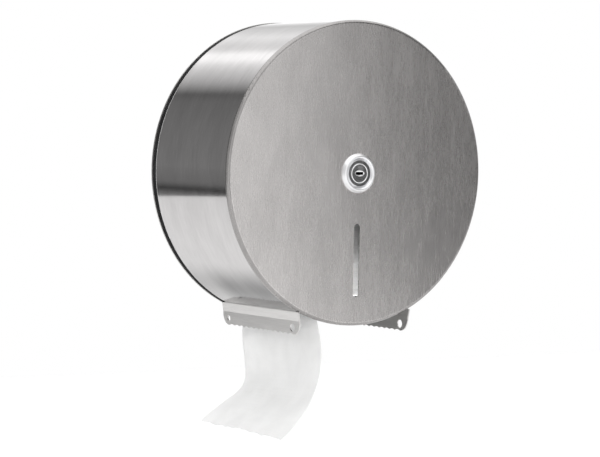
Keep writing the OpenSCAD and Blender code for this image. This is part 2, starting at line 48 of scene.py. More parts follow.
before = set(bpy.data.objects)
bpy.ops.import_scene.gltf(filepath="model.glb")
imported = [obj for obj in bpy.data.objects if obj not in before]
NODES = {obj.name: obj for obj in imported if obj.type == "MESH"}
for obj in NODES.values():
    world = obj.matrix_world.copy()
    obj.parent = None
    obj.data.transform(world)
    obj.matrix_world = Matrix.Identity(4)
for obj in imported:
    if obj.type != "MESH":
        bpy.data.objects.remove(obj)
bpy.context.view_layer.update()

# The lowest and highest corners of the nodes that sizes come from
ROLL_LOW, ROLL_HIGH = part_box("paper_roll")
CORE_LOW, CORE_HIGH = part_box("roll_core")
BAND_LOW, BAND_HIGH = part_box("drum_band")
BAR_LOW, BAR_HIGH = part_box("right_tear_bar")
ROLL_MIDDLE = (ROLL_LOW + ROLL_HIGH) / 2
ROLL_R = (ROLL_HIGH.z - ROLL_LOW.z) / 2
ROLL_WIDTH = ROLL_HIGH.y - ROLL_LOW.y
CORE_R = (CORE_HIGH.z - CORE_LOW.z) / 2
DRUM_R = BAND_HIGH.z
BAR_LENGTH = BAR_HIGH.y - BAR_LOW.y


# Shader maths: a socket that Python's operators work on, and one method for any node


def join(tree, value, socket):
    """Links a signal to a socket, or sets the socket to a plain value."""
    if isinstance(value, Signal):
        tree.links.new(value.socket, socket)
    else:
        socket.default_value = value


def operator_pair(operation):
    """A Python operator that adds a Math node, and its reflected form."""
    return (
        lambda self, other: self.maths(operation, self, other),
        lambda self, other: self.maths(operation, other, self),
    )


class Signal:
    """A shader value. Sums with other signals and with plain numbers add Math nodes."""

    def __init__(self, tree, socket):
        self.tree = tree
        self.socket = socket

    def maths(self, operation, *terms):
        node = self.tree.nodes.new("ShaderNodeMath")
        node.operation = operation
        for term, socket in zip(terms, node.inputs):
            join(self.tree, term, socket)
        return Signal(self.tree, node.outputs[0])

    __add__, __radd__ = operator_pair("ADD")
    __sub__, __rsub__ = operator_pair("SUBTRACT")
    __mul__, __rmul__ = operator_pair("MULTIPLY")
    __truediv__, __rtruediv__ = operator_pair("DIVIDE")
    __pow__, __rpow__ = operator_pair("POWER")

    def __abs__(self):
        return self.maths("ABSOLUTE", self)


def weighed(share, first, second):
    """Two values together: the first with a share, and the second with the rest."""
    return first * share + second * (1 - share)


def varied(middle, *swings):
    """A value that swings about its middle with noises, each given with its reach."""
    for noise, reach in swings:
        middle = middle + (noise - 0.5) * reach
    return middle


def toned(colour, share):
    """A colour made darker, or lighter up to white."""
    return [min(1.0, part * share) for part in colour]


def opaque(colour):
    """A colour with its alpha, or a signal as it is."""
    return colour if isinstance(colour, Signal) else (*colour[:3], 1.0)


def open_socket(sockets, key):
    """A node's socket by its number, or by its name among those in use."""
    if isinstance(key, int):
        return sockets[key]
    return next(s for s in sockets if s.enabled and s.name == key)


def fill_ramp(ramp, stops):
    """Gives a colour ramp its stops, each a position and a grey."""
    while len(ramp.elements) > 1:
        ramp.elements.remove(ramp.elements[-1])
    for number, (position, grey) in enumerate(stops):
        element = ramp.elements[0] if number == 0 else ramp.elements.new(position)
        element.position = position
        element.color = (grey, grey, grey, 1.0)


class Graph:
    """A node tree that is built up from Python."""

    prefix = "ShaderNode"

    def __init__(self, tree):
        self.tree = tree
        tree.nodes.clear()

    def add(self, kind, sockets=None, **settings):
        """Adds a node: its settings are set first, then the values or links of its sockets."""
        made = self.tree.nodes.new(kind if "Node" in kind else self.prefix + kind)
        for name, value in settings.items():
            if name == "stops":
                fill_ramp(made.color_ramp, value)
            else:
                setattr(made, name, value)
        for key, value in (sockets or {}).items():
            join(self.tree, value, open_socket(made.inputs, key))
        return made

    def node(self, kind, sockets=None, out=None, **settings):
        """Adds a node as add() does, and gives one of its outputs."""
        made = self.add(kind, sockets, **settings)
        if out is None:
            return Signal(self.tree, next(s for s in made.outputs if s.enabled))
        return Signal(self.tree, open_socket(made.outputs, out))

    def parts(self, vector):
        """The x, y and z of a vector."""
        made = self.add("ShaderNodeSeparateXYZ", {"Vector": vector})
        return [Signal(self.tree, made.outputs[axis]) for axis in "XYZ"]

    def vector(self, x, y, z):
        return self.node("ShaderNodeCombineXYZ", {"X": x, "Y": y, "Z": z})

    def angle(self, along, across):
        """The angle of a point from the second axis towards the first, in radians."""
        return self.node("ShaderNodeMath", {0: along, 1: across}, operation="ARCTAN2")

    def fraction(self, value):
        """What a value has past its last whole number."""
        return self.node("ShaderNodeMath", {0: value}, operation="FRACT")

    def step(self, value, low, high):
        """0 below low, 1 above high, and smooth between them."""
        reach = {"Value": value, "From Min": low, "From Max": high}
        return self.node("ShaderNodeMapRange", reach, interpolation_type="SMOOTHSTEP")

    def noise(self, place, detail=2.0, roughness=0.5):
        """Noise at a place, given as three coordinates, with a cell to each unit of them."""
        kind = {"Scale": 1.0, "Detail": detail, "Roughness": roughness}
        return self.node("ShaderNodeTexNoise", {"Vector": self.vector(*place), **kind})

    def blend(self, share, first, second):
        """A colour between two colours."""
        colours = {"Factor": share, "A": opaque(first), "B": opaque(second)}
        return self.node("ShaderNodeMix", colours, data_type="RGBA")


class Finish(Graph):
    """A material's tree, with the coordinates that its patterns use."""

    def __init__(self, name):
        self.material = bpy.data.materials.new(name)
        self.material.use_nodes = True
        super().__init__(self.material.node_tree)
        self.place = self.parts(self.node("TexCoord", out="Object"))
        self.x, self.y, self.z = self.place

    def around(self):
        """The angle round the drum's axis, in radians, with its jump at the bottom."""
        return self.angle(self.x, self.z)

    def radius(self):
        """The distance from the drum's axis."""
        return (self.x * self.x + self.z * self.z) ** 0.5

    def specks(self, per_metre, detail):
        """Noise that is as fine in every direction, with so many cells to the metre."""
        return self.noise([part * per_metre for part in self.place], detail)

    def streaks(self, across, along, width, length):
        """Brushing lines of a width and a length: fine ones over broader, longer ones."""
        broader, longer, fine_share = 4.5, 2.5, 0.62
        fine = self.noise((across / width, 0.0, along / length), 3.0, 0.6)
        broad = self.noise((across / (width * broader), 5.0, along / (length * longer)))
        return weighed(fine_share, fine, broad)

    def relief(self, height, depth, under=None):
        """A bump of a depth in metres, over another bump where there is one."""
        sockets = {"Height": height, "Distance": depth}
        if under is not None:
            sockets["Normal"] = under
        return self.node("Bump", sockets)

    def surface(self, colour, roughness, normal=None, **others):
        """Ends the material in a Principled shader. Its other sockets have _ for a space."""
        sockets = {"Base Color": colour, "Roughness": roughness}
        if normal is not None:
            sockets["Normal"] = normal
        sockets.update({name.replace("_", " "): v for name, v in others.items()})
        shader = self.add("BsdfPrincipled", sockets)
        end = self.add("OutputMaterial")
        self.tree.links.new(shader.outputs[0], end.inputs["Surface"])
        return self.material


# Finishes. In the place of a noise, a coordinate times a number has that many cells to the
# metre, and a number alone picks a slice that is unlike the others.

# Black that handling marks and painted shade blend towards
MARKS_AND_SHADE_BLACK = (0.0, 0.0, 0.0)
# Black of the painted shade inside the key slot
SLOT_SHADE_BLACK = (0.004, 0.004, 0.004)
# Pale of a painted highlight along an edge
HIGHLIGHT_PALE = (0.92, 0.92, 0.92)

# Where the painted shade beside the tear bars is full and where it ends: below the axis, as a
# share of the drum's radius, and in front of the wall, as a share of the band's depth
SHADE_BELOW_AXIS = (0.785, 0.59)
SHADE_AHEAD_SHARE = (0.50, 0.15)

# How far past the key slot's edge its painted shade begins to fade, and over what width
SLOT_MARGIN, SLOT_FADE = 0.00003, 0.00007


def brushed_steel(name, looks, lie, painted_shade=None, painted_highlight=None):
    """Brushed sheet. lie gives, from the finish, the coordinates across and along the lines.

    The fourth argument gives where painted shade darkens the sheet, and the fifth where a pale
    painted highlight lies along an edge.
    """
    made = Finish(name)
    across, along = lie(made)
    lines = made.streaks(across, along, looks.grain_width, looks.grain_length)
    thinner, longer, line_share = 0.6, 6.0, 0.8
    scratch = made.noise(
        (across / (looks.grain_width * thinner), 11.0, along / (looks.grain_length * longer))
    )
    tone = made.step(weighed(line_share, lines, scratch), 0.30, 0.70)
    dark = toned(looks.colour, 1 - looks.grain_contrast)
    light = toned(looks.colour, 1 + looks.grain_contrast)
    handled = made.noise((across * 42.0, 7.0, along * 15.0), 3.0)
    shade = made.step(handled, 0.35, 0.65) * looks.cloudiness
    # Painted shade, where given, adds to the handling marks
    if painted_shade:
        shade = shade + painted_shade(made, looks)
    colour = made.blend(shade, made.blend(tone, dark, light), MARKS_AND_SHADE_BLACK)
    rough = varied(looks.roughness, (tone, 0.04), (made.specks(9.0, 3.0), 0.05))
    metal = 1.0
    # A pale painted highlight along an edge, where one is given
    if painted_highlight:
        edge, rougher, less_metal = painted_highlight(made, looks), 0.4, 0.9
        colour = made.blend(edge, colour, HIGHLIGHT_PALE)
        rough, metal = rough + edge * rougher, 1.0 - edge * less_metal
    return made.surface(colour, rough, made.relief(lines, looks.grain_depth), Metallic=metal)


def bend_painted_shade(made, looks):
    """Painted shade along the bend round the front."""
    start = DRUM_R - looks.bend_width
    return made.step(made.radius(), start, start + looks.bend_fade) * looks.bend_dulling


def rear_edge_highlight(made, looks):
    """A painted highlight along the band's rear edge: pale, rougher and less metal."""
    start = BAND_HIGH.y - looks.cut_width
    return made.step(made.y, start, start + looks.cut_fade)


def painted_shade_by_bars(made, looks):
    """Painted shade on the band's steel beside the tear bars, deepest low down and in front."""
    low = 1.0 - made.step(made.z, *(-DRUM_R * share for share in SHADE_BELOW_AXIS))
    ahead = 1.0 - made.step(made.y, *(BAND_LOW.y * share for share in SHADE_AHEAD_SHARE))
    return low * (looks.tint + ahead * looks.tint_ahead)


def painted_shade_between_bars(made, looks):
    """Painted shade on the sides of the tear bars that face each other."""
    sideways = made.parts(made.node("NewGeometry", out="Normal"))[0]
    inner, outer = -0.30, -0.10
    facing = made.step(sideways * made.x / BAR_HIGH.x, inner, outer)
    return (1.0 - facing) * looks.inner_dulling


def lines_upward(made):
    return made.x, made.z


def lines_round(made):
    return made.y, made.around() * DRUM_R


def lines_outward(made):
    return made.z, made.y


def chrome_plate(name, looks, dulling=0.0, slot=None):
    """Polished chrome with faint smears and hairline scratches, and painted shade in a slot's
    inside.
    """
    made = Finish(name)
    smear = made.noise((made.x * 160.0, made.y * 160.0, made.z * 90.0), 4.0)
    hair = made.noise((made.x * 2600.0, made.y * 300.0, made.z * 300.0), 1.0)
    smeared, in_slot, hair_depth = 0.10, 0.6, 0.000004
    rough = looks.polish + dulling + made.step(smear, 0.45, 0.8) * smeared
    colour = made.blend(made.step(smear, 0.4, 0.85), looks.chrome, toned(looks.chrome, 0.88))
    # Painted shade blackens a slot's inside
    if slot:
        inside = slot(made, looks)
        colour = made.blend(inside, colour, SLOT_SHADE_BLACK)
        rough = rough + inside * in_slot
    return made.surface(colour, rough, made.relief(hair, hair_depth), Metallic=1.0)


def key_slot_shade(made, looks):
    """Painted shade over the inside of the key slot in the plug."""
    inside = 1.0
    for part, size in ((made.x, looks.slot_width), (made.z, looks.slot_height)):
        edge = size / 2 + SLOT_MARGIN
        inside = (1.0 - made.step(abs(part), edge, edge + SLOT_FADE)) * inside
    return inside


def zinc_plate(name, looks):
    """Bright zinc: a bluish grey with cloudy tints and a fine turned texture."""
    made = Finish(name)
    cloud = made.specks(120.0, 4.0)
    lathe = made.noise((made.radius() * 3500.0, made.y * 3500.0, 0.0), 1.0)
    warm = [part * share for part, share in zip(looks.zinc, (1.04, 1.0, 0.90))]
    colour = made.blend(made.step(cloud, 0.4, 0.7), looks.zinc, warm)
    rough = varied(0.28, (cloud, 0.2), (lathe, 0.08))
    return made.surface(colour, rough, made.relief(lathe, 0.00001), Metallic=1.0)


def rubber_and_gap_shade(name, looks):
    """Matt rubber with a fine pitted skin and a dusty bloom; near black, it also stands as
    painted shade in the gap that it fills.
    """
    made = Finish(name)
    pits, dust = made.specks(1500.0, 3.0), made.specks(140.0, 3.0)
    colour = made.blend(made.step(dust, 0.45, 0.75), looks.rubber, toned(looks.rubber, 2.0))
    rough = varied(0.72, (pits, 0.2))
    return made.surface(colour, rough, made.relief(pits, 0.00003), Specular_IOR_Level=0.2)


def moulded_nylon(name, looks):
    """Grey nylon with the grain of its mould and faint flow lines."""
    made = Finish(name)
    skin = made.specks(2200.0, 2.0)
    flow = made.noise((made.x * 45.0, made.y * 16.0, made.z * 45.0), 3.0)
    colour = made.blend(made.step(flow, 0.35, 0.7), looks.nylon, toned(looks.nylon, 1.18))
    rough = varied(0.46, (skin, 0.16), (flow, 0.1))
    return made.surface(colour, rough, made.relief(skin, 0.00002), Specular_IOR_Level=0.45)


def wound_board(name, looks):
    """Cardboard wound in a spiral: a butt seam once a turn, and fibres along the board."""
    made = Finish(name)
    turn = made.around() / (2 * math.pi)
    place = made.y / looks.board_pitch + turn
    seam_width = 0.03
    seam = 1.0 - made.step(abs(made.fraction(place) - 0.5), 0.0, seam_width)
    fibre = made.noise((place * 90.0, turn * 60.0, made.radius() * 900.0), 4.0)
    speck = made.specks(700.0, 2.0)
    tone = made.step(weighed(0.6, fibre, speck), 0.3, 0.7)
    colour = made.blend(tone, toned(looks.board, 0.72), toned(looks.board, 1.25))
    colour = made.blend(seam * 0.6, colour, toned(looks.board, 0.45))
    normal = made.relief(fibre * 0.5 + speck * 0.3 - seam, 0.0001)
    return made.surface(colour, varied(0.86, (fibre, 0.1)), normal, Specular_IOR_Level=0.2)


def wound_tissue(name, looks):
    """The roll: layers show as rings on its sides, and crepe and embossing round it."""
    made = Finish(name)
    out, turn = made.radius(), made.around()
    wobble = made.noise((made.x * 30.0, 0.0, made.z * 30.0))
    ring_wander, band_wander, band_pitch = 0.0016, 0.004, 0.006
    ring = (out + wobble * ring_wander) / looks.layer_pitch
    rings = made.noise((ring, made.y * 20.0, 0.0), 3.0, 0.7)
    broad = made.noise(((out + wobble * band_wander) / band_pitch, 3.0, turn * 0.4))
    dots = embossing(made, made.y, turn * ROLL_R, looks.emboss_pitch)
    crepe = made.noise((turn * ROLL_R * 1400.0, made.y * 160.0, 0.0))
    side_end, edge_start = 0.0020, 0.0006
    edge = made.step(out, ROLL_R - side_end, ROLL_R - edge_start)
    tone = made.step(weighed(0.7, rings, broad), 0.3, 0.62)
    layered = made.blend(tone, toned(looks.tissue, 0.86), looks.tissue)
    colour = made.blend(edge, layered, looks.tissue)
    normal = made.relief(rings, 0.0005)
    normal = made.relief(weighed(0.7, dots, crepe) * edge, 0.00022, normal)
    return made.surface(colour, varied(0.92, (rings, 0.08)), normal, Specular_IOR_Level=0.15)


def embossing(made, across, along, pitch):
    """Rows of small pressed dots, each row set half a pitch over from the last."""
    row = along / (pitch * math.sqrt(3) / 2)
    number = made.node("Math", {0: row}, operation="FLOOR")
    column = across / pitch + made.fraction(number * 0.5)
    side, down = made.fraction(column) - 0.5, made.fraction(row) - 0.5
    dot, rim = 0.16, 0.34
    return made.step((side * side + down * down) ** 0.5, dot, rim)


def loose_tissue(name, looks):
    """The free paper: two soft plies with embossing, crepe and light let through."""
    made = Finish(name)
    u, v, _ = made.parts(made.node("UVMap", uv_map="Sheet"))
    across, along = u * ROLL_WIDTH, v * looks.tail_length
    dots = embossing(made, across, along, looks.emboss_pitch)
    crepe = made.noise((along * 1400.0, across * 160.0, 0.0))
    cloud = made.noise((across * 60.0, along * 35.0, 4.0), 3.0)
    fold = made.noise((across * 22.0, along * 60.0, 9.0))
    colour = made.blend(made.step(cloud, 0.3, 0.7), toned(looks.tissue, 0.94), looks.tissue)
    normal = made.relief(fold, 0.0009)
    normal = made.relief(weighed(0.6, dots, crepe), 0.00006, normal)
    return made.surface(
        colour, varied(0.9, (cloud, 0.1)), normal,
        Specular_IOR_Level=0.15, Subsurface_Weight=0.15, Subsurface_Radius=(1.0, 1.0, 1.0),
        Subsurface_Scale=0.002,
    )


# Geometry trees


class Builder(Graph):
    """A geometry tree with named inputs, which gives real geometry with its material on."""

    prefix = "GeometryNode"

    def __init__(self, name, lengths, others):
        """lengths names the inputs that are lengths, and others has the kinds of the rest."""
        super().__init__(bpy.data.node_groups.new(name, "GeometryNodeTree"))
        kinds = {"Geometry": "Geometry", **dict.fromkeys(lengths, "Float"), **others}
        kinds["Material"] = "Material"
        sockets = self.tree.interface
        for title, kind in kinds.items():
            sockets.new_socket(title, in_out="INPUT", socket_type="NodeSocket" + kind)
        sockets.new_socket("Geometry", in_out="OUTPUT", socket_type="NodeSocketGeometry")
        start = self.tree.nodes.new("NodeGroupInput")
        self.given = {s.name: Signal(self.tree, s) for s in start.outputs if s.name}

    def finish(self, geometry):
        """Ends the tree: makes instances real and sets the material that was given."""
        real = self.node("RealizeInstances", {"Geometry": geometry})
        material = self.given["Material"]
        painted = self.node("SetMaterial", {"Geometry": real, "Material": material})
        end = self.tree.nodes.new("NodeGroupOutput")
        self.tree.links.new(painted.socket, end.inputs[0])
        return self.tree


def grow(name, tree, looks, values, start=None):
    """Runs a geometry tree on a start mesh and keeps its result as a plain mesh.

    Its inputs are in values, or else they are the sizes of the same names in looks.
    """
    piece = bpy.data.objects.new(name, start or bpy.data.meshes.new(name))
    bpy.context.scene.collection.objects.link(piece)
    modifier = piece.modifiers.new("Build", "NODES")
    modifier.node_group = tree
    for item in tree.interface.items_tree:
        size = item.name.lower().replace(" ", "_")
        if item.name in values:
            modifier[item.identifier] = values[item.name]
        elif hasattr(looks, size):
            modifier[item.identifier] = getattr(looks, size)
    graph = bpy.context.evaluated_depsgraph_get()
    mesh = bpy.data.meshes.new_from_object(piece.evaluated_get(graph))
    piece.modifiers.clear()
    piece.data = mesh
    if not len(mesh.polygons):
        raise RuntimeError(f"{name} came out empty")
    return piece


def outward(piece, merge=0.0):
    """Turns a piece's faces outward, after its doubles are merged where that is asked."""
    shape = bmesh.new()
    shape.from_mesh(piece.data)
    if merge:
        bmesh.ops.remove_doubles(shape, verts=shape.verts, dist=merge)
    bmesh.ops.recalc_face_normals(shape, faces=shape.faces)
    shape.to_mesh(piece.data)
    shape.free()
    return piece


# How many of the finish's rings each step in the sides of the roll's mesh takes
RINGS_PER_STEP = 3


def wound_roll_tree():
    """A ring of paper: its section is a rounded rectangle whose sides step with the layers."""
    made = Builder(
        "Wound roll",
        ("Outer Radius", "Inner Radius", "Width", "Edge Rounding", "Section Step",
         "Layer Pitch", "Layer Relief"),
        {"Roll Around": "Int", "Centre": "Vector"},
    )
    given = made.given
    outer, inner = given["Outer Radius"], given["Inner Radius"]
    section = made.node(
        "CurvePrimitiveQuadrilateral", {"Width": outer - inner, "Height": given["Width"]},
        mode="RECTANGLE",
    )
    section = made.node(
        "FilletCurve",
        {"Curve": section, "Radius": given["Edge Rounding"], "Count": 4, "Limit Radius": True},
        mode="POLY",
    )
    section = made.node(
        "ResampleCurve", {"Curve": section, "Length": given["Section Step"]}, mode="LENGTH"
    )
    x, y, _ = made.parts(made.node("InputPosition"))
    layers = made.noise((x / given["Layer Pitch"], 0.0, 0.0), 2.0, 0.6)
    side = made.node("ShaderNodeMath", {0: y}, operation="SIGN")
    step = made.vector(0.0, (layers - 0.6) * given["Layer Relief"] * side, 0.0)
    section = made.node("SetPosition", {"Geometry": section, "Offset": step})
    path = made.node(
        "CurvePrimitiveCircle",
        {"Resolution": given["Roll Around"], "Radius": (outer + inner) * 0.5},
        mode="RADIUS",
    )
    ring = made.node("CurveToMesh", {"Curve": path, "Profile Curve": section})
    ring = made.node("SetShadeSmooth", {"Geometry": ring})
    upright = {"Translation": given["Centre"], "Rotation": (math.radians(90), 0.0, 0.0)}
    return made.finish(made.node("Transform", {"Geometry": ring, **upright}))


def weld_tree():
    """Low round nuggets, one at each point of the start mesh, flattened along its normal."""
    made = Builder("Spot welds", ("Radius", "Height"), {})
    given = made.given
    dome = made.node("MeshUVSphere", {"Segments": 16, "Rings": 8, "Radius": 1.0})
    normal = made.node("InputNormal")
    facing = made.node("FunctionNodeAlignRotationToVector", {"Vector": normal}, axis="Z")
    size = made.vector(given["Radius"], given["Radius"], given["Height"])
    spots = made.node(
        "InstanceOnPoints",
        {"Points": given["Geometry"], "Instance": dome, "Rotation": facing, "Scale": size},
    )
    return made.finish(made.node("SetShadeSmooth", {"Geometry": spots}))


def fibre_tree():
    """Short paper fibres that stand out of a torn edge, each turned and sized by a seed."""
    lengths = ("Fibre Spacing", "Fibre Length", "Fibre Thickness")
    made = Builder("Torn fibres", lengths, {"Seed": "Int"})
    given = made.given
    spacing, length, thickness = (given[title] for title in lengths)
    lean, spin, shortest, tip = 0.9, 6.28, 0.35, 0.15
    edge = made.node("MeshToCurve", {"Mesh": given["Geometry"]})
    points = made.node(
        "CurveToPoints", {"Curve": edge, "Length": spacing}, "Points", mode="LENGTH"
    )
    fibre = made.node(
        "MeshCone", {"Vertices": 4, "Radius Top": tip, "Radius Bottom": 1.0, "Depth": 1.0},
        "Mesh", fill_type="NGON",
    )
    turn = made.node(
        "FunctionNodeRandomValue",
        {"Min": (-lean, -lean, 0.0), "Max": (lean, lean, spin), "Seed": given["Seed"]},
        data_type="FLOAT_VECTOR",
    )
    long = made.node(
        "FunctionNodeRandomValue", {"Min": shortest, "Max": 1.0, "Seed": given["Seed"]},
        data_type="FLOAT",
    )
    ahead = made.node("InputNamedAttribute", {"Name": "ahead"}, data_type="FLOAT_VECTOR")
    down = made.node("FunctionNodeAlignRotationToVector", {"Vector": ahead}, axis="Z")
    turn = made.node("FunctionNodeEulerToRotation", {"Euler": turn})
    leaning = made.node(
        "FunctionNodeRotateRotation", {"Rotation": down, "Rotate By": turn},
        rotation_space="LOCAL",
    )
    size = made.vector(thickness, thickness, length * long)
    fibres = made.node(
        "InstanceOnPoints",
        {"Points": points, "Instance": fibre, "Rotation": leaning, "Scale": size},
    )
    return made.finish(fibres)


# The paper tail's own shape

# The angle at which the paper leaves the roll, and how many rows of points lie on it before
TAIL_LEAVE = math.radians(239.5)
WRAP_ROWS = 24

# The heading of each edge in degrees, by its share of the free length
TAIL_FRONT = (
    (0.09, -46), (0.19, -73), (0.26, -74), (0.35, -77), (0.46, -88), (0.55, -98),
    (0.68, -111), (0.77, -126), (0.85, -137), (0.93, -138), (1.0, -150),
)
TAIL_REAR = (
    (0.09, -58), (0.19, -98), (0.27, -92), (0.35, -92), (0.41, -82), (0.50, -80),
    (0.59, -88), (0.65, -112), (0.70, -140), (0.75, -153), (0.83, -148), (0.92, -145),
    (1.0, -139),
)

# Soft waves in the paper: radians across it, radians a metre down it, shift and height.
# They begin after a share of the free length, and grow over another.
RIPPLES = ((9.0, 40.0, 0.0, 1.0), (17.0, -75.0, 1.0, 0.6))
RIPPLE_START, RIPPLE_GROWTH = 0.30, 0.35


def edge_path(headings, length, radius, steps):
    """One edge of the free paper, as x and z from where it leaves the roll."""
    shares = [0.0] + [share for share, _ in headings]
    turns = [math.degrees(TAIL_LEAVE) - 270] + [heading for _, heading in headings]
    middle = (np.arange(steps) + 0.5) / steps
    heading = np.radians(np.interp(middle, shares, turns))
    start = radius * np.array([math.cos(TAIL_LEAVE), math.sin(TAIL_LEAVE)])
    moves = np.stack([np.cos(heading), np.sin(heading)], 1) * length / steps
    return np.vstack([start, start + np.cumsum(moves, 0)])


def smoothed(path, times):
    """A path with its inner points drawn towards their neighbours."""
    for _ in range(times):
        path[1:-1] = path[1:-1] * 0.5 + (path[:-2] + path[2:]) * 0.25
    return path


def tail_edges(paper):
    """Both edges of the paper, first on the roll and then free, and the way down them."""
    free, wrap, steps = paper.tail_length, paper.tail_wrap, paper.tail_rows
    radius = ROLL_R + paper.tail_lift
    turns = np.linspace(TAIL_LEAVE - wrap / radius, TAIL_LEAVE, WRAP_ROWS)[:-1]
    lying = radius * np.stack([np.cos(turns), np.sin(turns)], 1)
    front, rear = (
        smoothed(np.vstack([lying, edge_path(headings, free, radius, steps)]), times=3)
        for headings in (TAIL_FRONT, TAIL_REAR)
    )
    down = [np.linspace(-wrap, 0, WRAP_ROWS)[:-1], np.linspace(0, free, steps + 1)]
    return front, rear, np.concatenate(down)


def tail_surface(paper):
    """Rows of points over the paper, their headings, and how far down and across they are."""
    front, rear, down = tail_edges(paper)
    share = np.linspace(0, 1, paper.tail_columns)
    over = share[None, :, None]
    path = front[:, None] * (1 - over) + rear[:, None] * over
    flow = np.gradient(path, axis=0)
    flow /= np.linalg.norm(flow, axis=2, keepdims=True)
    ripple = sum(
        height * np.sin(share[None, :] * across + down[:, None] * along + shift)
        for across, along, shift, height in RIPPLES
    )
    down = down / paper.tail_length
    grown = np.clip((np.clip(down, 0, 1) - RIPPLE_START) / RIPPLE_GROWTH, 0, 1)[:, None]
    lift = paper.tail_ripple * grown * ripple
    x, z = path[:, :, 0] - flow[:, :, 1] * lift, path[:, :, 1] + flow[:, :, 0] * lift
    torn = np.random.default_rng(paper.seed).uniform(-1, 1, len(share))
    torn = np.convolve(np.pad(torn, 1, mode="edge"), (0.25, 0.5, 0.25), "valid")
    x[-1] += flow[-1, :, 0] * torn * paper.torn_depth
    z[-1] += flow[-1, :, 1] * torn * paper.torn_depth
    y = np.broadcast_to(ROLL_LOW.y + share * ROLL_WIDTH, x.shape)
    return np.stack([x, y, z], 2), flow, down, share


def hanging_paper(paper, material):
    """The free end of the roll as a sheet with soft ripples and a torn lower edge."""
    points, flow, down, share = tail_surface(paper)
    index = np.arange(len(down) * len(share)).reshape(len(down), len(share))
    squares = (index[:-1, :-1], index[1:, :-1], index[1:, 1:], index[:-1, 1:])
    faces = np.stack(squares, -1).reshape(-1, 4)
    mesh = bpy.data.meshes.new("hanging_paper")
    mesh.from_pydata(points.reshape(-1, 3).tolist(), [], faces.tolist())
    along, across = np.meshgrid(down, share, indexing="ij")
    uv = mesh.uv_layers.new(name="Sheet")
    corners = np.zeros(len(mesh.loops), int)
    mesh.loops.foreach_get("vertex_index", corners)
    uv.data.foreach_set("uv", np.stack([across, along], 2).reshape(-1, 2)[corners].ravel())
    mesh.polygons.foreach_set("use_smooth", [True] * len(mesh.polygons))
    mesh.materials.append(material)
    piece = bpy.data.objects.new("hanging_paper", mesh)
    bpy.context.scene.collection.objects.link(piece)
    thick = piece.modifiers.new("Two plies", "SOLIDIFY")
    thick.thickness, thick.offset = paper.tail_thickness, 0.0
    return piece, points[-1], flow[-1]


def torn_fringe(paper, material, edge, ahead):
    """Fibres along the torn edge of the paper."""
    mesh = bpy.data.meshes.new("torn_edge")
    mesh.from_pydata(edge.tolist(), [(n, n + 1) for n in range(len(edge) - 1)], [])
    way = mesh.attributes.new("ahead", "FLOAT_VECTOR", "POINT")
    directions = np.stack([ahead[:, 0], np.zeros(len(ahead)), ahead[:, 1]], 1)
    way.data.foreach_set("vector", directions.ravel())
    return grow("torn_fringe", fibre_tree(), paper, {"Material": material}, mesh)


# Named sizes and colours


def a_number(title, about, default, low=0, **kind):
    return FloatProperty(name=title, description=about, default=default, min=low, **kind)


def a_length(title, about, default):
    return a_number(title, about, default, subtype="DISTANCE", unit="LENGTH", precision=5)


def an_angle(title, about, degrees):
    turn = math.radians(degrees)
    return a_number(title, about, turn, -math.pi, subtype="ANGLE", unit="ROTATION")


def a_share(title, about, default):
    return a_number(title, about, default, max=1, subtype="FACTOR")


def a_colour(title, about, default):
    return FloatVectorProperty(
        name=title, description=about, default=default, subtype="COLOR", size=3, min=0, max=1
    )


def a_count(title, about, default):
    return IntProperty(name=title, description=about, default=default, min=0)


def steel_looks(colour, roughness, line, contrast, cloudiness, **own):
    """The named sizes and colours of a brushed sheet, and those that only this sheet has."""
    width, length, depth = line
    return {
        "colour": a_colour("Steel", "Colour of the steel", colour),
        "roughness": a_share("Roughness", "Roughness of the steel", roughness),
        "grain_width": a_length("Line Width", "Width of a brushing line", width),
        "grain_length": a_length("Line Length", "Length of a brushing line", length),
        "grain_depth": a_length("Line Depth", "Depth of a brushing line", depth),
        "grain_contrast": a_share("Contrast", "How the lines differ in tone", contrast),
        "cloudiness": a_share("Cloudiness", "Darkness of handling marks", cloudiness),
        **own,
    }


class CoverLooks(PropertyGroup):
    """The brushed front of the drum, with its bend."""

    __annotations__ = steel_looks(
        colour=(0.618, 0.598, 0.590), roughness=0.27, line=(0.0009, 0.010, 0.0000015),
        contrast=0.065, cloudiness=0.08,
        # The bend's darker band is painted shade
        bend_width=a_length("Bend", "Width of the shaded bend", 0.0030),
        bend_fade=a_length("Bend Fade", "Width over which the bend begins", 0.0007),
        bend_dulling=a_share("Bend Shade", "How much darker the bend is", 0.42),
    )


class BandLooks(PropertyGroup):
    """The rolled band, which is smoother than the front."""

    __annotations__ = steel_looks(
        colour=(0.592, 0.579, 0.578), roughness=0.09, line=(0.0009, 0.012, 0.000006),
        contrast=0.075, cloudiness=0.07,
        # The pale rear edge is a painted highlight
        cut_width=a_length("Highlight Edge", "Width of the pale rear edge", 0.0020),
        cut_fade=a_length("Highlight Fade", "Width over which that edge begins", 0.0006),
        # The darkening beside the tear bars is painted shade
        tint=a_share("Bar Shade", "Darkening beside the tear bars", 0.40),
        tint_ahead=a_share("Shade Ahead", "More darkening in front of the welds", 0.34),
    )


class SatinLooks(PropertyGroup):
    """The duller steel of the tear bars and the back plate."""

    __annotations__ = steel_looks(
        colour=(0.68, 0.67, 0.66), roughness=0.33, line=(0.0006, 0.012, 0.000006),
        contrast=0.07, cloudiness=0.04,
        # The darkening between the bars is painted shade
        inner_dulling=a_share("Inner Sides", "Darkening between the bars", 0.46),
    )


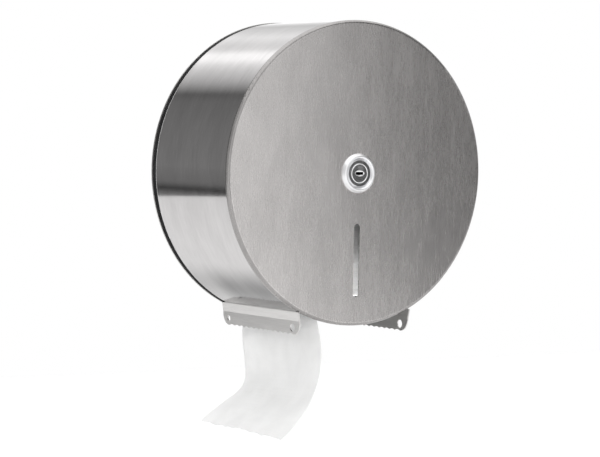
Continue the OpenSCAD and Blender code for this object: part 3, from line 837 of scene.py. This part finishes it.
class SmallPartLooks(PropertyGroup):
    """Colours of the lock, the fixings, the rubber and the hub."""

    chrome: a_colour("Chrome", "Colour of the lock's plating", (0.86, 0.86, 0.87))
    polish: a_share("Polish", "Roughness of clean chrome", 0.07)
    rose_dulling: a_share("Rose", "How much rougher the lock's rose is", 0.22)
    slot_width: a_length("Slot Width", "Width of the key slot", 0.008)
    slot_height: a_length("Slot Height", "Height of the key slot", 0.0024)
    zinc: a_colour("Zinc", "Colour of the zinc plate", (0.56, 0.58, 0.60))
    # Near black, so that the seal also stands as painted shade in the gap behind the cover
    rubber: a_colour("Rubber", "Colour of the seal", (0.008, 0.008, 0.0085))
    nylon: a_colour("Nylon", "Colour of the hub", (0.30, 0.31, 0.33))
    board: a_colour("Board", "Colour of the roll's core", (0.40, 0.29, 0.18))
    board_pitch: a_length("Board Pitch", "Width of the board's spiral", 0.045)


class PaperLooks(PropertyGroup):
    """The roll and its hanging end."""

    tissue: a_colour("Tissue", "Colour of the paper", (0.90, 0.90, 0.895))
    emboss_pitch: a_length("Emboss Pitch", "Distance between pressed dots", 0.0042)
    layer_pitch: a_length("Layer Pitch", "Width of the rings on the roll's sides", 0.0007)
    layer_relief: a_length("Layer Relief", "How far the layers stand out", 0.0003)
    edge_rounding: a_length("Edge Rounding", "Rounding of the roll's edges", 0.0009)
    section_step: a_length("Section Step", "Step along the roll's section", 0.0013)
    tail_length: a_length("Tail Length", "Free length of the paper", 0.162)
    tail_wrap: a_length("Tail Wrap", "Length of the tail that lies on the roll", 0.036)
    tail_lift: a_length("Tail Lift", "Distance of the tail from the roll", 0.0005)
    tail_thickness: a_length("Tail Thickness", "Thickness of the two plies", 0.0003)
    tail_ripple: a_length("Tail Ripple", "Height of the soft ripples", 0.0005)
    torn_depth: a_length("Torn Depth", "Depth of the torn edge", 0.0012)
    fibre_spacing: a_length("Fibre Spacing", "Distance between torn fibres", 0.0006)
    fibre_length: a_length("Fibre Length", "Length of a torn fibre", 0.0014)
    fibre_thickness: a_length("Fibre Thickness", "Half the width of a fibre", 0.00006)
    tail_rows: a_count("Tail Rows", "Rows of the free paper", 130)
    tail_columns: a_count("Tail Columns", "Columns of the free paper", 72)
    roll_around: a_count("Roll Sides", "Sections round the roll", 160)
    seed: a_count("Seed", "Seed of the torn edge", 7)


class WeldLooks(PropertyGroup):
    """Spot welds that hold the tear bars' feet."""

    pitch: a_length("Pitch", "Distance between two welds", 0.018)
    radius: a_length("Radius", "Radius of a weld", 0.0022)
    height: a_length("Height", "Height of a weld", 0.00025)
    inset: a_length("Inset", "Distance of the welds from the foot's edge", 0.0055)
    seat: a_length("Seat", "Depth of the feet's inner face in the drum", 0.0022)


class StageSettings(PropertyGroup):
    """Camera, floor and light."""

    azimuth: an_angle("Azimuth", "Turn of the camera to the right of the front", -33.68)
    elevation: an_angle("Elevation", "Height of the camera as an angle", 1.06)
    distance: a_length("Distance", "Distance of the camera", 2.2)
    aim: a_length("Aim", "Depth of the point aimed at, out from the wall", 0.062)
    lens: a_number("Lens", "Focal length in millimetres", 145.6)
    pan: an_angle("Pan", "Turn of the view after aiming", 0.338)
    tilt: an_angle("Tilt", "Tilt of the view after aiming", -1.359)
    roll: an_angle("Roll", "Roll of the view after aiming", 1.151)
    floor_drop: a_length("Floor Drop", "Floor below the drum's axis", 0.34)
    floor_side: a_length("Floor Side", "How far the floor goes to each side", 2.6)
    floor_back: a_length("Floor Back", "How far the floor goes behind", 1.32)
    floor_front: a_length("Floor Front", "How far the floor goes in front", 1.45)
    floor_colour: a_colour("Floor", "Colour of the floor", (0.93, 0.93, 0.93))
    card: a_number("Dark Card", "Light from the dark card in front", 0.09)
    room: a_number("Room", "Light from the room behind the camera", 1.1)
    side: a_number("Sides", "Light from the front and the sides of the studio", 0.66)
    wall: a_number("Wall", "Strength of the light from the wall behind", 1.12)
    ceiling: a_number("Ceiling", "Light from the ceiling", 1.56)
    front: a_number("Front Softbox", "Power of the lamp in front", 4.1)
    left: a_number("Left Softbox", "Power of the lamp at the left", 3.1)
    outlet: a_number("Outlet Lamp", "Power of the lamp under the outlet", 1.35)


# How bright the wall behind is, by the angle from the right over the top, in degrees. Its
# dark part at the left is what the side of the drum shows.
WALL_LIGHT = (
    (-180, 0.23), (-168, 0.20), (-163, 0.05), (-155, 0.30), (-90, 0.80), (0, 0.90), (6, 0.94),
    (12, 1.13), (18, 0.89), (30, 0.62), (36, 0.73), (42, 0.79), (54, 1.02), (66, 0.88),
    (72, 0.95), (78, 1.35), (84, 1.35), (90, 1.03), (96, 0.83), (102, 0.70), (108, 0.54),
    (114, 0.32), (119, 0.13), (126, 0.18), (150, 0.21), (180, 0.24),
)
BRIGHTEST = 2.0

# Where each part of the studio fades in or out, as part of a direction of length 1
WALL_BEHIND, WALL_LEFT = (0.45, 0.65), (-0.78, -0.68)
CEILING_ABOVE = (0.60, 0.72)
ROOM_TO_CARD, FRONT_TO_SIDES = (-0.45, 0.20), (-0.58, -0.28)

# Each lamp's place, the point that it faces, and its width and height
OUTLET_Y = ROLL_LOW.y - 0.028
LAMPS = {
    "front_softbox": ((0.265, -1.25, 0.10), (0.265, 0, 0.10), (0.90, 1.5)),
    "left_softbox": ((-1.5, -1.1, 0.45), (0, -0.1, -0.1), (0.9, 0.9)),
    "outlet_lamp": ((0, OUTLET_Y, ROLL_LOW.z - 0.19), (0, OUTLET_Y, 0), (0.10, 0.008)),
}

GROUPS = {
    "cover_looks": CoverLooks,
    "band_looks": BandLooks,
    "satin_looks": SatinLooks,
    "small_part_looks": SmallPartLooks,
    "paper_looks": PaperLooks,
    "weld_looks": WeldLooks,
    "stage_settings": StageSettings,
}


# Helpers of the operators


def dress(material, slot, *names):
    """Gives carried-over nodes a finish."""
    for name in names:
        piece = NODES[name]
        if not piece.material_slots:
            piece.data.materials.append(material)
        for holder in piece.material_slots:
            holder.material = material


def turned(place, *turns):
    """A place after turns about its own axes."""
    for angle, axis in turns:
        place = place @ Matrix.Rotation(angle, 4, axis)
    return place


def softbox(context, name, place, target, size, power):
    """A rectangular lamp that faces a target."""
    lamp = bpy.data.lights.new(name, "AREA")
    lamp.shape = "RECTANGLE"
    lamp.size, lamp.size_y = size
    lamp.energy = power
    holder = bpy.data.objects.new(name, lamp)
    holder.location = place
    holder.rotation_euler = (Vector(place) - Vector(target)).to_track_quat("Z", "Y").to_euler()
    holder.visible_camera = False
    context.scene.collection.objects.link(holder)
    return holder


class DISPENSER_OT_stage(Operator):
    """Sets the camera, the floor and the studio light"""

    bl_idname = "dispenser.stage"
    bl_label = "Stage"

    def execute(self, context):
        stage = context.scene.stage_settings
        context.scene.view_settings.view_transform = "Standard"
        self.place_camera(context, stage)
        self.lay_floor(context, stage)
        self.light_studio(context, stage)
        return {"FINISHED"}

    def place_camera(self, context, stage):
        """Swings the camera round the point aimed at, moves it back and turns it there."""
        camera = bpy.data.objects.new("Camera", bpy.data.cameras.new("Camera"))
        camera.data.lens = stage.lens
        camera.data.clip_start, camera.data.clip_end = 0.05, 50.0
        place = Matrix.Translation((0, -stage.aim, 0))
        place = turned(place, (stage.azimuth, "Z"), (math.pi / 2 - stage.elevation, "X"))
        place = place @ Matrix.Translation((0, 0, stage.distance))
        place = turned(place, (stage.pan, "Y"), (stage.tilt, "X"), (stage.roll, "Z"))
        camera.matrix_world = place
        context.scene.collection.objects.link(camera)
        context.scene.camera = camera

    def lay_floor(self, context, stage):
        near, far, low = -stage.floor_front, stage.floor_back, -stage.floor_drop
        left, right = -stage.floor_side, stage.floor_side
        corners = ((left, near, low), (right, near, low), (right, far, low), (left, far, low))
        mesh = bpy.data.meshes.new("floor")
        mesh.from_pydata(corners, [], [(0, 1, 2, 3)])
        floor = bpy.data.objects.new("floor", mesh)
        context.scene.collection.objects.link(floor)
        made = Finish("Pale floor")
        cloud = made.noise((made.x * 6.0, made.y * 6.0, 0.0), 3.0)
        colour = made.blend(cloud, toned(stage.floor_colour, 0.985), stage.floor_colour)
        mesh.materials.append(made.surface(colour, varied(0.6, (cloud, 0.1))))

    def light_studio(self, context, stage):
        world = bpy.data.worlds.new("Studio")
        context.scene.world = world
        world.use_nodes = True
        sky = Graph(world.node_tree)
        x, y, z = sky.parts(sky.node("TexCoord", out="Generated"))
        stops = [((degrees + 180) / 360, light / BRIGHTEST) for degrees, light in WALL_LIGHT]
        turn = sky.angle(z, x) / (2 * math.pi) + 0.5
        wall = sky.node("ValToRGB", {"Fac": turn}, stops=stops) * (BRIGHTEST * stage.wall)
        leftward = 1.0 - sky.step(x, *ROOM_TO_CARD)
        front = stage.card + leftward * (stage.room - stage.card)
        front = front + sky.step(y, *FRONT_TO_SIDES) * (stage.side - front)
        behind = sky.step(y, *WALL_BEHIND) * sky.step(x, *WALL_LEFT)
        light = front + behind * (wall - front)
        light = light + sky.step(z, *CEILING_ABOVE) * (stage.ceiling - light)
        seen = sky.node("LightPath", out="Is Camera Ray")
        strength = light * (1.0 - seen) + seen
        glow = sky.add("Background", {"Color": (1, 1, 1, 1), "Strength": strength})
        end = sky.add("OutputWorld")
        sky.tree.links.new(glow.outputs[0], end.inputs["Surface"])
        powers = (stage.front, stage.left, stage.outlet)
        _, aside, below = (
            softbox(context, name, *LAMPS[name], power) for name, power in zip(LAMPS, powers)
        )
        below.data.cycles.max_bounces = 0
        for lamp in (aside, below):
            lamp.visible_glossy = False
            lamp.light_linking.receiver_collection = bpy.data.collections.new(lamp.name)


class DISPENSER_OT_cover(Operator):
    """Brushes the front panel upward and the band round the drum"""

    bl_idname = "dispenser.cover"
    bl_label = "Cover"

    def execute(self, context):
        scene = context.scene
        # The front gets painted shade along its bend
        front = brushed_steel("Brushed front", scene.cover_looks, lines_upward, bend_painted_shade)
        # The band gets painted shade beside the tear bars and a painted highlight along its
        # rear edge
        band = brushed_steel("Brushed band", scene.band_looks, lines_round, painted_shade_by_bars, rear_edge_highlight)
        dress(front, "cover_steel", "front_panel")
        dress(band, "cover_steel", "drum_band")
        return {"FINISHED"}


class DISPENSER_OT_tear_bars(Operator):
    """Gives the tear bars their satin steel and the spot welds on their feet"""

    bl_idname = "dispenser.tear_bars"
    bl_label = "Tear Bars"

    def execute(self, context):
        looks = context.scene.satin_looks
        # The bars get painted shade on the sides that face each other
        steel = brushed_steel("Satin bars", looks, lines_outward, painted_shade_between_bars)
        dress(steel, "bar_steel", "left_tear_bar", "right_tear_bar")
        welds = self.spot_welds(context.scene.weld_looks, steel)
        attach(welds, "cover")
        return {"FINISHED"}

    def spot_welds(self, looks, steel):
        """Two rows of welds along the feet: a dome on each corner of a tiny face on a foot."""
        across = BAR_HIGH.x - looks.inset
        up = -math.sqrt((DRUM_R - looks.seat) ** 2 - across**2)
        count = int((BAR_LENGTH - looks.pitch) / looks.pitch)
        first = BAR_LOW.y + (BAR_LENGTH - (count - 1) * looks.pitch) / 2
        along, tiny = Vector((0, 1, 0)), 1e-5
        shape = bmesh.new()
        for side in (-1, 1):
            sideways = along.cross(Vector((-side * across, 0, -up)).normalized())
            for number in range(count):
                place = Vector((side * across, first + number * looks.pitch, up))
                corners = (along, sideways, -along - sideways)
                shape.faces.new([shape.verts.new(place + tiny * c) for c in corners])
        bmesh.ops.recalc_face_normals(shape, faces=shape.faces)
        mesh = bpy.data.meshes.new("weld_places")
        shape.to_mesh(mesh)
        shape.free()
        return outward(grow("spot_welds", weld_tree(), looks, {"Material": steel}, mesh))


class DISPENSER_OT_lock(Operator):
    """Plates the lock with chrome and its inner parts with zinc"""

    bl_idname = "dispenser.lock"
    bl_label = "Lock"

    def execute(self, context):
        looks = context.scene.small_part_looks
        zinc = zinc_plate("Zinc plate", looks)
        rose = chrome_plate("Satin chrome", looks, looks.rose_dulling)
        dress(rose, "lock_chrome", "lock_rose")
        dress(chrome_plate("Bright chrome", looks), "lock_chrome", "lock_housing")
        # The plug gets painted shade inside its key slot
        dress(chrome_plate("Keyed chrome", looks, 0.0, key_slot_shade), "lock_chrome", "lock_plug")
        dress(zinc, "zinc_steel", "lock_washer", "lock_nut", "lock_cam", "cam_screw")
        return {"FINISHED"}


class DISPENSER_OT_wall_unit(Operator):
    """Finishes the back plate, the rim, the axle and what is on it"""

    bl_idname = "dispenser.wall_unit"
    bl_label = "Wall Unit"

    def execute(self, context):
        looks = context.scene.small_part_looks
        steel = brushed_steel("Satin plate", context.scene.satin_looks, lines_upward)
        dress(steel, "plate_steel", "back_plate", "locating_rim", "axle_flange", "strike_cup")
        zinc = zinc_plate("Zinc axle", looks)
        dress(zinc, "zinc_steel", "flange_rivets", "axle_tube", "axle_plug", "hub_circlip")
        dress(zinc, "zinc_steel", "strike_screw")
        # The seal's near-black rubber also stands as painted shade in the gap behind the cover
        dress(rubber_and_gap_shade("Black rubber", looks), "seal_rubber", "cover_seal")
        nylon = moulded_nylon("Grey nylon", looks)
        dress(nylon, "hub_nylon", "rear_hub_washer", "front_hub_washer", "roll_hub")
        return {"FINISHED"}


class DISPENSER_OT_roll(Operator):
    """Winds the roll of tissue on its board core"""

    bl_idname = "dispenser.roll"
    bl_label = "Roll"

    def execute(self, context):
        paper = context.scene.paper_looks
        board = wound_board("Wound board", context.scene.small_part_looks)
        dress(board, "core_board", "roll_core")
        values = {
            "Outer Radius": ROLL_R,
            "Inner Radius": CORE_R,
            "Width": ROLL_WIDTH,
            "Layer Pitch": paper.layer_pitch * RINGS_PER_STEP,
            "Centre": ROLL_MIDDLE,
            "Material": wound_tissue("Wound tissue", paper),
        }
        roll = grow("wound_roll", wound_roll_tree(), paper, values)
        outward(roll, merge=1e-6)
        # The outlet's lamp lights the roll alone, and the left softbox all but the roll
        for lamp, state in (("outlet_lamp", "INCLUDE"), ("left_softbox", "EXCLUDE")):
            lit = bpy.data.collections[lamp]
            lit.objects.link(roll)
            lit.collection_objects[0].light_linking.link_state = state
        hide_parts("paper_roll")
        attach(roll, "roll")
        return {"FINISHED"}


class DISPENSER_OT_tail(Operator):
    """Hangs the loose end of the paper out between the tear bars"""

    bl_idname = "dispenser.tail"
    bl_label = "Paper Tail"

    def execute(self, context):
        paper = context.scene.paper_looks
        tissue = loose_tissue("Loose tissue", paper)
        sheet, edge, ahead = hanging_paper(paper, tissue)
        fringe = torn_fringe(paper, tissue, edge, ahead)
        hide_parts("paper_tail")
        for piece in (sheet, fringe):
            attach(piece, "wall_unit")
        return {"FINISHED"}


class DISPENSER_PT_panel(Panel):
    """Lists the dispenser's steps"""

    bl_idname = "DISPENSER_PT_panel"
    bl_label = "Dispenser"
    bl_space_type = "VIEW_3D"
    bl_region_type = "UI"
    bl_category = "Dispenser"

    def draw(self, context):
        for step in STEPS:
            self.layout.operator(step.bl_idname)
        for name in GROUPS:
            box = self.layout.box()
            group = getattr(context.scene, name)
            for title in GROUPS[name].__annotations__:
                box.prop(group, title)


STEPS = (
    DISPENSER_OT_stage,
    DISPENSER_OT_cover,
    DISPENSER_OT_tear_bars,
    DISPENSER_OT_lock,
    DISPENSER_OT_wall_unit,
    DISPENSER_OT_roll,
    DISPENSER_OT_tail,
)


CLASSES = (*GROUPS.values(), *STEPS, DISPENSER_PT_panel)


def register():
    for kind in CLASSES:
        bpy.utils.register_class(kind)
    for name, group in GROUPS.items():
        setattr(bpy.types.Scene, name, PointerProperty(type=group))


def unregister():
    for name in GROUPS:
        delattr(bpy.types.Scene, name)
    for kind in reversed(CLASSES):
        bpy.utils.unregister_class(kind)


def main():
    register()
    for step in STEPS:
        folder, name = step.bl_idname.split(".")
        getattr(getattr(bpy.ops, folder), name)()


if __name__ == "__main__":
    main()
